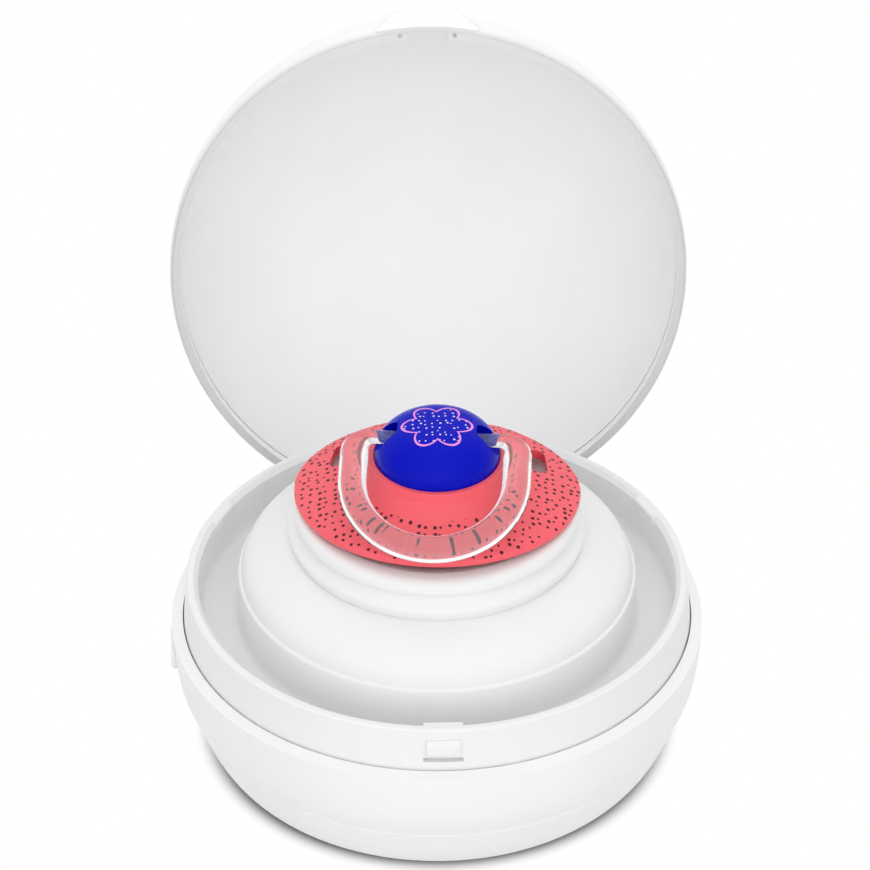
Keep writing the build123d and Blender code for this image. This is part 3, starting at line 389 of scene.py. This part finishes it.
class ScallopedLoop(SharedEffect):
    """A printed loop with round lobes, drawn on a plane round the origin."""

    title = "scalloped loop"
    inputs = (
        ("Vector", "NodeSocketVector", None),
        ("Radius", "NodeSocketFloat", 0.006),
        ("Wave", "NodeSocketFloat", 0.0012),
        ("Lobes", "NodeSocketFloat", 7.0),
        ("Line", "NodeSocketFloat", 0.0003),
    )
    outputs = (("Line", "NodeSocketFloat"), ("Inside", "NodeSocketFloat"))
    INK_EDGE = 0.06 * MM
    INSIDE_FROM = -0.4 * MM  # measured from the loop's line, inward
    INSIDE_TO = -0.2 * MM

    def write(self, writer: NodeWriter, given: bpy.types.NodeOutputs) -> dict[str, object]:
        """Write the effect's nodes.

        Args:
            writer: writes into the group.
            given: the group's inputs.

        Returns:
            Line, 1 on the loop's line, and Inside, 1 within the loop.
        """
        parts = writer.split(given["Vector"])
        length = writer.vector_math("LENGTH", "Value", writer.flat(parts))
        angle = writer.math("ARCTAN2", parts["Y"], parts["X"])
        half_turn = writer.math("MULTIPLY", writer.math("MULTIPLY", angle, given["Lobes"]), 0.5)
        wave = writer.math("ABSOLUTE", writer.math("COSINE", half_turn))
        edge = writer.math("MULTIPLY_ADD", wave, given["Wave"], given["Radius"])
        off = writer.math("SUBTRACT", length, edge)
        distance = writer.math("ABSOLUTE", off)
        outer = writer.math("ADD", given["Line"], self.INK_EDGE)
        line = writer.band(distance, given["Line"], outer, 1.0, 0.0)
        inside = writer.band(off, self.INSIDE_FROM, self.INSIDE_TO, 1.0, 0.0)
        return {"Line": line, "Inside": inside}


class BoardTracks(SharedEffect):
    """Copper tracks and pads under the lacquer of a circuit board."""

    title = "board tracks"
    inputs = (
        ("Vector", "NodeSocketVector", None),
        ("Lacquer", "NodeSocketColor", None),
        ("Track", "NodeSocketColor", None),
    )
    outputs = (("Colour", "NodeSocketColor"), ("Height", "NodeSocketFloat"))
    SCALE = 320.0
    TRACK_WIDTH = 0.05

    def write(self, writer: NodeWriter, given: bpy.types.NodeOutputs) -> dict[str, object]:
        """Write the effect's nodes.

        Args:
            writer: writes into the group.
            given: the group's inputs.

        Returns:
            Colour and Height.
        """
        bricks = writer.add("ShaderNodeTexBrick", offset=0.5)
        writer.feed(bricks.inputs["Vector"], given["Vector"])
        writer.feed(bricks.inputs["Color1"], BLACK)
        writer.feed(bricks.inputs["Color2"], BLACK)
        writer.feed(bricks.inputs["Mortar"], WHITE)
        bricks.inputs["Scale"].default_value = self.SCALE
        bricks.inputs["Mortar Size"].default_value = self.TRACK_WIDTH
        tracks = bricks.outputs["Color"]
        return {
            "Colour": writer.mix(tracks, given["Lacquer"], given["Track"]),
            "Height": tracks,
        }


# ---------------------------------------------------------------- finishes
class Clarity(Enum):
    """How much light goes through a finish."""

    OPAQUE = 0.0
    MILKY = 0.35
    GLASSY = 0.97
    CLEAR = 1.0


@dataclass(frozen=True)
class Finish:
    """A moulded finish: colour, gloss and the grain of its skin."""

    name: str
    colour: Colour
    roughness: float = 0.4
    specular: float = 0.5
    clouding: float = 0.02
    grain_mm: float = 0.5
    grain_depth_mm: float = 0.004
    grain_strength: float = 0.6
    clarity: Clarity = Clarity.OPAQUE
    ior: float = 1.5

    def shader(self, material: bpy.types.Material) -> tuple[NodeWriter, bpy.types.Node]:
        """Empty a material and put a Principled shader in it.

        Args:
            material: the material to start.

        Returns:
            The writer and the shader node.
        """
        material.use_nodes = True
        material.node_tree.nodes.clear()
        writer = NodeWriter(material.node_tree)
        shader = writer.add("ShaderNodeBsdfPrincipled")
        output = writer.add("ShaderNodeOutputMaterial")
        writer.feed(output.inputs["Surface"], shader.outputs[0])
        shader.inputs["Specular IOR Level"].default_value = self.specular
        shader.inputs["IOR"].default_value = self.ior
        shader.inputs["Transmission Weight"].default_value = self.clarity.value
        return writer, shader

    def place(self, writer: NodeWriter) -> bpy.types.NodeSocket:
        """Return the place on the piece, in metres in the row frame."""
        return writer.add("ShaderNodeTexCoord").outputs["Object"]

    def colour_over(self, writer: NodeWriter, vector: bpy.types.NodeSocket) -> object:
        """Return the colour before the skin effect; plain here."""
        return self.colour

    def edge_height(self, writer: NodeWriter, vector: bpy.types.NodeSocket) -> object:
        """Return the height of a worked edge in metres; none here."""
        return None

    def surface(self, writer: NodeWriter, shader: bpy.types.Node) -> bpy.types.NodeSocket:
        """Feed the shader's colour and roughness: the skin of a moulding.

        Args:
            writer: writes into the material.
            shader: the Principled node.

        Returns:
            The normal that the shader takes.
        """
        vector = self.place(writer)
        skin = MouldedSkin().place(
            writer,
            Vector=vector,
            Colour=self.colour_over(writer, vector),
            Clouding=self.clouding,
            Roughness=self.roughness,
            Grain=PER_METRE / self.grain_mm,
        )
        writer.feed(shader.inputs["Base Color"], skin["Colour"])
        writer.feed(shader.inputs["Roughness"], skin["Roughness"])
        edge = self.edge_height(writer, vector)
        worked = None if edge is None else writer.bump(edge, 1.0)
        depth = self.grain_depth_mm * MM
        return writer.bump(skin["Height"], depth, self.grain_strength, worked)

    def material(self) -> bpy.types.Material:
        """Build the material once and return it."""
        found = bpy.data.materials.get(self.name)
        if found:
            return found
        material = bpy.data.materials.new(self.name)
        writer, shader = self.shader(material)
        writer.feed(shader.inputs["Normal"], self.surface(writer, shader))
        return material

    def dress(self, piece: bpy.types.Object) -> None:
        """Give a piece this finish in all its material slots.

        Args:
            piece: a mesh object.
        """
        material = self.material()
        if not piece.material_slots:
            piece.data.materials.append(material)
        for slot in piece.material_slots:
            slot.material = material


@dataclass(frozen=True)
class RimmedLid(Finish):
    """White lid whose rim falls away outward, as a soft bevel round its mouth."""

    centre: Place = (0.0, 0.06876, 0.06779)  # middle of the open lid's mouth
    opening_deg: float = 102.6
    mouth: float = 0.0521
    widest: float = 0.0543
    depth: float = 0.0028  # of the bevel, from the mouth inward
    depth_blend: float = 0.0006
    fall: float = 1.15

    def edge_height(self, writer: NodeWriter, vector: bpy.types.NodeSocket) -> object:
        """Return the bevel's height round the mouth.

        Args:
            writer: writes into the material.
            vector: place on the piece.

        Returns:
            The height socket.
        """
        opening = math.radians(self.opening_deg)
        pole = (0.0, math.sin(opening), math.cos(opening))
        from_centre = writer.vector_math("SUBTRACT", "Vector", vector, self.centre)
        inward = writer.vector_math("DOT_PRODUCT", "Value", from_centre, pole)
        length = writer.vector_math("LENGTH", "Value", from_centre)
        along = writer.math("POWER", inward, 2.0)
        whole = writer.math("POWER", length, 2.0)
        radius = writer.math("SQRT", writer.math("SUBTRACT", whole, along))
        kept = writer.math("MINIMUM", writer.math("MAXIMUM", radius, self.mouth), self.widest)
        drop = writer.math("MULTIPLY", writer.math("SUBTRACT", self.widest, kept), self.fall)
        near = writer.band(inward, self.depth, self.depth + self.depth_blend, 1.0, 0.0)
        return writer.math("MULTIPLY", drop, near)


@dataclass(frozen=True)
class MetalFinish(Finish):
    """Bare metal with fine drawn lines."""

    line_mm: float = 0.12
    grain_strength: float = 0.3
    STRETCH = 0.08  # the lines run long in X
    LINE_BAND = (0.3, 0.7)
    GLOSS_SPREAD = 0.2  # of the roughness, either way
    WORN_SHADE = 0.86

    def surface(self, writer: NodeWriter, shader: bpy.types.Node) -> bpy.types.NodeSocket:
        """Feed the shader's colour and roughness: drawn lines on metal.

        Args:
            writer: writes into the material.
            shader: the Principled node.

        Returns:
            The normal that the shader takes.
        """
        shader.inputs["Metallic"].default_value = 1.0
        parts = writer.split(self.place(writer))
        run = writer.math("MULTIPLY", parts["X"], self.STRETCH)
        lines = writer.noise(writer.join(run, parts["Y"], parts["Z"]), self.line_mm, 2.0)
        least = self.roughness * (1.0 - self.GLOSS_SPREAD)
        most = self.roughness * (1.0 + self.GLOSS_SPREAD)
        roughness = writer.band(lines, *self.LINE_BAND, least, most)
        writer.feed(shader.inputs["Roughness"], roughness)
        worn = tuple(part * self.WORN_SHADE for part in self.colour)
        writer.feed(shader.inputs["Base Color"], writer.mix(lines, self.colour, worn))
        return writer.bump(lines, self.grain_depth_mm * MM, self.grain_strength)


@dataclass(frozen=True)
class BoardFinish(Finish):
    """Lacquered circuit board with tracks."""

    track: Colour = (0.10, 0.36, 0.20)
    track_height_mm: float = 0.03

    def surface(self, writer: NodeWriter, shader: bpy.types.Node) -> bpy.types.NodeSocket:
        """Feed the shader's colour and roughness: tracks under lacquer.

        Args:
            writer: writes into the material.
            shader: the Principled node.

        Returns:
            The normal that the shader takes.
        """
        shader.inputs["Roughness"].default_value = self.roughness
        tracks = BoardTracks().place(
            writer, Vector=self.place(writer), Lacquer=self.colour, Track=self.track
        )
        writer.feed(shader.inputs["Base Color"], tracks["Colour"])
        return writer.bump(tracks["Height"], self.track_height_mm * MM)


@dataclass(frozen=True)
class SpeckledShield(Finish):
    """Coral plastic with dark dots printed on the shield, none on the upper neck."""

    dot: Colour = (0.075, 0.0, 0.006)
    neck_radius: float = 0.0164
    spacing_mm: float = 1.6
    dot_size: float = 0.23  # of the spacing
    dot_share: float = 0.93
    neck_blend: float = 0.0002
    FACING_UP = (0.45, 0.55)

    def colour_over(self, writer: NodeWriter, vector: bpy.types.NodeSocket) -> object:
        """Return the coral with its dots.

        Args:
            writer: writes into the material.
            vector: place on the piece.

        Returns:
            The colour socket.
        """
        flat = writer.flat(writer.split(vector))
        dots = PrintedDots().place(
            writer,
            Vector=flat,
            Spacing=PER_METRE / self.spacing_mm,
            Size=self.dot_size,
            Share=self.dot_share,
        )
        length = writer.vector_math("LENGTH", "Value", flat)
        outside = writer.band(length, self.neck_radius - self.neck_blend, self.neck_radius)
        facing = writer.split(writer.add("ShaderNodeNewGeometry").outputs["Normal"])
        upward = writer.band(facing["Z"], *self.FACING_UP)
        printed = writer.math("MULTIPLY", outside, upward)
        mask = writer.math("MULTIPLY", dots["Mask"], printed)
        return writer.mix(mask, self.colour, self.dot)


@dataclass(frozen=True)
class LoopPrintedCap(Finish):
    """Deep blue cap with a scalloped loop and pale dots."""

    ink: Colour = (0.86, 0.30, 0.74)
    pale: Colour = (0.90, 0.74, 0.92)
    loop_radius: float = 0.0046
    loop_wave: float = 0.0023
    loop_line: float = 0.00022
    lobes: int = 6
    spacing_mm: float = 1.3
    dot_size: float = 0.16  # of the spacing
    dot_share: float = 0.85

    def colour_over(self, writer: NodeWriter, vector: bpy.types.NodeSocket) -> object:
        """Return the blue with its print.

        Args:
            writer: writes into the material.
            vector: place on the piece.

        Returns:
            The colour socket.
        """
        loop = ScallopedLoop().place(
            writer,
            Vector=vector,
            Radius=self.loop_radius,
            Wave=self.loop_wave,
            Lobes=float(self.lobes),
            Line=self.loop_line,
        )
        dots = PrintedDots().place(
            writer,
            Vector=writer.flat(writer.split(vector)),
            Spacing=PER_METRE / self.spacing_mm,
            Size=self.dot_size,
            Share=self.dot_share,
        )
        inner = writer.math("MULTIPLY", dots["Mask"], loop["Inside"])
        dotted = writer.mix(inner, self.colour, self.pale)
        return writer.mix(loop["Line"], dotted, self.ink)


WHITE_BODY = Finish("white body", (0.885, 0.887, 0.89), roughness=0.36, clouding=0.012)
WHITE_TRAY = Finish("white tray", (0.84, 0.842, 0.845), roughness=0.42, clouding=0.012)
WHITE_LID = RimmedLid("white lid", (0.92, 0.92, 0.925), roughness=0.34, clouding=0.015)
FOOT_SILICONE = Finish("foot silicone", (0.62, 0.62, 0.62), roughness=0.6, grain_mm=0.3)
FLAP_SILICONE = Finish("flap silicone", (0.80, 0.80, 0.80), roughness=0.55, grain_mm=0.3)
SHIELD_CORAL = SpeckledShield(
    "shield coral", (0.93, 0.115, 0.145), roughness=0.32, specular=0.35, clouding=0.03
)
CAP_BLUE = LoopPrintedCap(
    "cap blue", (0.0, 0.004, 0.50), roughness=0.24, specular=0.1, clouding=0.03
)
TEAT_SILICONE = Finish(
    "teat silicone", (0.93, 0.92, 0.90), roughness=0.28, clarity=Clarity.MILKY, ior=1.41
)
HANDLE_CLEAR = Finish(
    "handle clear",
    (1.0, 0.995, 0.995),
    roughness=0.05,
    clouding=0.0,
    grain_mm=2.5,
    grain_depth_mm=0.006,
    clarity=Clarity.GLASSY,
    ior=1.5,
)
QUARTZ = Finish("quartz", (0.97, 0.98, 1.0), roughness=0.04, clarity=Clarity.CLEAR, ior=1.46)
REFLECTOR = MetalFinish("reflector", (0.88, 0.89, 0.90), roughness=0.2)
STEEL = MetalFinish("drawn steel", (0.56, 0.56, 0.57), roughness=0.32)
CELL_FOIL = MetalFinish("cell foil", (0.6, 0.62, 0.64), roughness=0.45, line_mm=0.6)
BOARD = BoardFinish("green board", (0.018, 0.16, 0.07), roughness=0.35)
BLACK_PART = Finish("black part", (0.02, 0.02, 0.022), roughness=0.45, grain_mm=0.2)
EMITTER = Finish("emitter ceramic", (0.74, 0.72, 0.62), roughness=0.5, grain_mm=0.2)
FOAM = Finish("foam pad", (0.03, 0.03, 0.032), roughness=0.9, grain_mm=0.4, grain_depth_mm=0.05)


# ---------------------------------------------------------------- sub-assemblies
@dataclass
class SubAssembly:
    """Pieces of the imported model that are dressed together."""

    nodes: dict[str, bpy.types.Object]
    finishes: dict[str, Finish] = field(default_factory=dict)

    def dress(self) -> None:
        """Give each CAD piece its finish and report it."""
        for name, finish in self.finishes.items():
            finish.dress(self.nodes[name])
            log.info("%s: %s", name, finish.name)


@dataclass
class Bowl(SubAssembly):
    """Outer bowl with its foot, start button and charging cover."""

    finishes: dict[str, Finish] = field(
        default_factory=lambda: {
            "outer_shell": WHITE_BODY,
            "bottom_cover": WHITE_BODY,
            "start_button": WHITE_BODY,
            "foot_ring": FOOT_SILICONE,
            "usb_flap": FLAP_SILICONE,
            "housing_screws": STEEL,
            "hinge_pin": STEEL,
        }
    )


@dataclass
class Seat(SubAssembly):
    """Tray, collar and the lit well."""

    finishes: dict[str, Finish] = field(
        default_factory=lambda: {
            "inner_tray": WHITE_TRAY,
            "seat_collar": WHITE_TRAY,
            "well_cup": REFLECTOR,
            "uv_window": QUARTZ,
            "led_board": BOARD,
            "uv_leds": EMITTER,
        }
    )


@dataclass
class Electronics(SubAssembly):
    """Board, socket, switch and cell in the bowl."""

    finishes: dict[str, Finish] = field(
        default_factory=lambda: {
            "main_board": BOARD,
            "board_parts": BLACK_PART,
            "usb_socket": STEEL,
            "battery_pad": FOAM,
            "battery_cell": CELL_FOIL,
            "button_switch": BLACK_PART,
        }
    )


@dataclass
class Lid(SubAssembly):
    """The domed lid."""

    finishes: dict[str, Finish] = field(default_factory=lambda: {"lid_shell": WHITE_LID})


@dataclass
class Soother(SubAssembly):
    """The soother that lies in the seat."""

    finishes: dict[str, Finish] = field(
        default_factory=lambda: {
            "pacifier_shield": SHIELD_CORAL,
            "pacifier_cap": CAP_BLUE,
            "pacifier_teat": TEAT_SILICONE,
            "pacifier_handle": HANDLE_CLEAR,
        }
    )


# ---------------------------------------------------------------- studio
@dataclass
class Studio:
    """Floor, light and camera."""

    floor_size: float = 6.0
    # place and radii of the painted shadow disc on the floor
    shadow_back: float = 0.0068
    shadow_inner: float = 0.0450
    shadow_outer: float = 0.0505
    camera_height_deg: float = 35.4
    camera_turn_deg: float = -1.4
    camera_distance: float = 0.9
    focal_px: float = 4455.0
    frame_px: float = 870.0
    aim_height: float = 0.029
    aim_rise: float = 0.0382
    aim_side: float = -0.0004
    sky_light: float = 0.62
    front_light: float = 1.54
    back_light: float = 1.45
    key_place: Place = (-0.25, -1.6, 0.32)
    key_power: float = 0.9
    top_place: Place = (0.1, -0.1, 1.6)
    top_power: float = 1.2
    lamp_size: float = 1.2
    floor_albedo: float = 0.74
    # albedo of the floor inside the painted shadow disc
    painted_shadow_albedo: float = 0.1
    sensor_mm: float = 36.0
    clip_start: float = 0.01

    def white_for_view(self, writer: NodeWriter) -> bpy.types.NodeSocket:
        """Return 1 for camera, glossy and transmission rays, else 0."""
        ray = writer.add("ShaderNodeLightPath").outputs
        either = writer.math("MAXIMUM", ray["Is Camera Ray"], ray["Is Glossy Ray"])
        return writer.math("MAXIMUM", either, ray["Is Transmission Ray"])

    def world(self) -> None:
        """Light the object from above, front and back with dim sides, and show white."""
        world = bpy.data.worlds.new("studio")
        bpy.context.scene.world = world
        world.use_nodes = True
        world.node_tree.nodes.clear()
        writer = NodeWriter(world.node_tree)
        seen = self.white_for_view(writer)
        shown = writer.add("ShaderNodeBackground")
        lit = writer.add("ShaderNodeBackground")
        for light in (shown, lit):
            writer.feed(light.inputs["Color"], WHITE)
        way = writer.split(writer.add("ShaderNodeTexCoord").outputs["Generated"])
        above = writer.math("MULTIPLY", writer.math("MAXIMUM", way["Z"], 0.0), self.sky_light)
        behind = writer.math("MULTIPLY", writer.math("MAXIMUM", way["Y"], 0.0), self.back_light)
        ahead = writer.math("MINIMUM", way["Y"], 0.0)
        both = writer.math("MULTIPLY_ADD", ahead, -self.front_light, behind)
        writer.feed(lit.inputs["Strength"], writer.math("ADD", above, both))
        output = writer.add("ShaderNodeOutputWorld")
        writer.feed(output.inputs["Surface"], writer.mix_shaders(seen, lit, shown))

    def floor_material(self) -> bpy.types.Material:
        """Return a white floor's material with a painted contact shadow: its diffuse colour is
        dark in a disc close round the object's foot.
        """
        material = bpy.data.materials.new("floor")
        material.use_nodes = True
        material.node_tree.nodes.clear()
        writer = NodeWriter(material.node_tree)
        diffuse = writer.add("ShaderNodeBsdfDiffuse")
        white = writer.add("ShaderNodeEmission")
        white.inputs["Strength"].default_value = 1.0
        place = writer.add("ShaderNodeTexCoord").outputs["Object"]
        middle = (0.0, self.shadow_back, 0.0)
        from_middle = writer.vector_math("SUBTRACT", "Vector", place, middle)
        length = writer.vector_math("LENGTH", "Value", from_middle)
        away = writer.band(length, self.shadow_inner, self.shadow_outer)
        # painted shadow: inside the disc the floor's own diffuse colour is darkened to this
        # albedo
        shade = (self.painted_shadow_albedo,) * 3
        pale = (self.floor_albedo,) * 3
        writer.feed(diffuse.inputs["Color"], writer.mix(away, shade, pale))
        factor = writer.math("MULTIPLY", away, self.white_for_view(writer))
        output = writer.add("ShaderNodeOutputMaterial")
        writer.feed(output.inputs["Surface"], writer.mix_shaders(factor, diffuse, white))
        return material

    def floor(self) -> None:
        """Build the floor plane."""
        half = self.floor_size / 2
        corners = [(-half, -half, 0), (half, -half, 0), (half, half, 0), (-half, half, 0)]
        mesh = bpy.data.meshes.new("floor")
        mesh.from_pydata(corners, [], [(0, 1, 2, 3)])
        mesh.materials.append(self.floor_material())
        plane = bpy.data.objects.new("floor", mesh)
        bpy.context.scene.collection.objects.link(plane)

    def lamp(self, name: str, place: Place, power: float) -> None:
        """Add a square lamp that faces the object.

        Args:
            name: the lamp's name.
            place: where it stands, in metres.
            power: in watts.
        """
        data = bpy.data.lights.new(name, "AREA")
        data.shape = "SQUARE"
        data.size = self.lamp_size
        data.energy = power
        lamp = bpy.data.objects.new(name, data)
        lamp.location = place
        beam = Vector((0.0, 0.0, self.aim_height)) - Vector(place)
        lamp.rotation_euler = beam.to_track_quat("-Z", "Y").to_euler()
        bpy.context.scene.collection.objects.link(lamp)

    def lamps(self) -> None:
        """Add a broad key low in front and a lamp of the same size overhead."""
        self.lamp("key", self.key_place, self.key_power)
        self.lamp("top", self.top_place, self.top_power)

    def camera(self) -> None:
        """Set the camera from its height and turn, both angles, and its distance."""
        lift = math.radians(self.camera_height_deg)
        turn = math.radians(self.camera_turn_deg)
        back = Vector(
            (math.sin(turn) * math.cos(lift), -math.cos(turn) * math.cos(lift), math.sin(lift))
        )
        right = Vector((math.cos(turn), math.sin(turn), 0.0))
        up = back.cross(right)
        aim = Vector((0, 0, self.aim_height)) + up * self.aim_rise + right * self.aim_side
        data = bpy.data.cameras.new("camera")
        data.sensor_width = self.sensor_mm
        data.lens = self.focal_px / self.frame_px * self.sensor_mm
        data.clip_start = self.clip_start
        camera = bpy.data.objects.new("camera", data)
        rotation = Matrix((right, up, back)).transposed().to_4x4()
        camera.matrix_world = Matrix.Translation(aim + back * self.camera_distance) @ rotation
        bpy.context.scene.collection.objects.link(camera)
        bpy.context.scene.camera = camera

    def build(self) -> None:
        """Build the whole studio."""
        bpy.context.scene.view_settings.view_transform = "Standard"
        self.camera()
        self.world()
        self.floor()
        self.lamps()
        log.info("studio ready")


def main() -> None:
    """Load the frame, dress every piece and set up the studio."""
    logging.basicConfig(level=logging.INFO, format="%(name)s: %(message)s")
    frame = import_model()
    nodes = frame["nodes"]
    Studio().build()
    for assembly in (Bowl(nodes), Seat(nodes), Electronics(nodes), Lid(nodes), Soother(nodes)):
        assembly.dress()
        log.info("%s done", type(assembly).__name__)


if __name__ == "__main__":
    main()
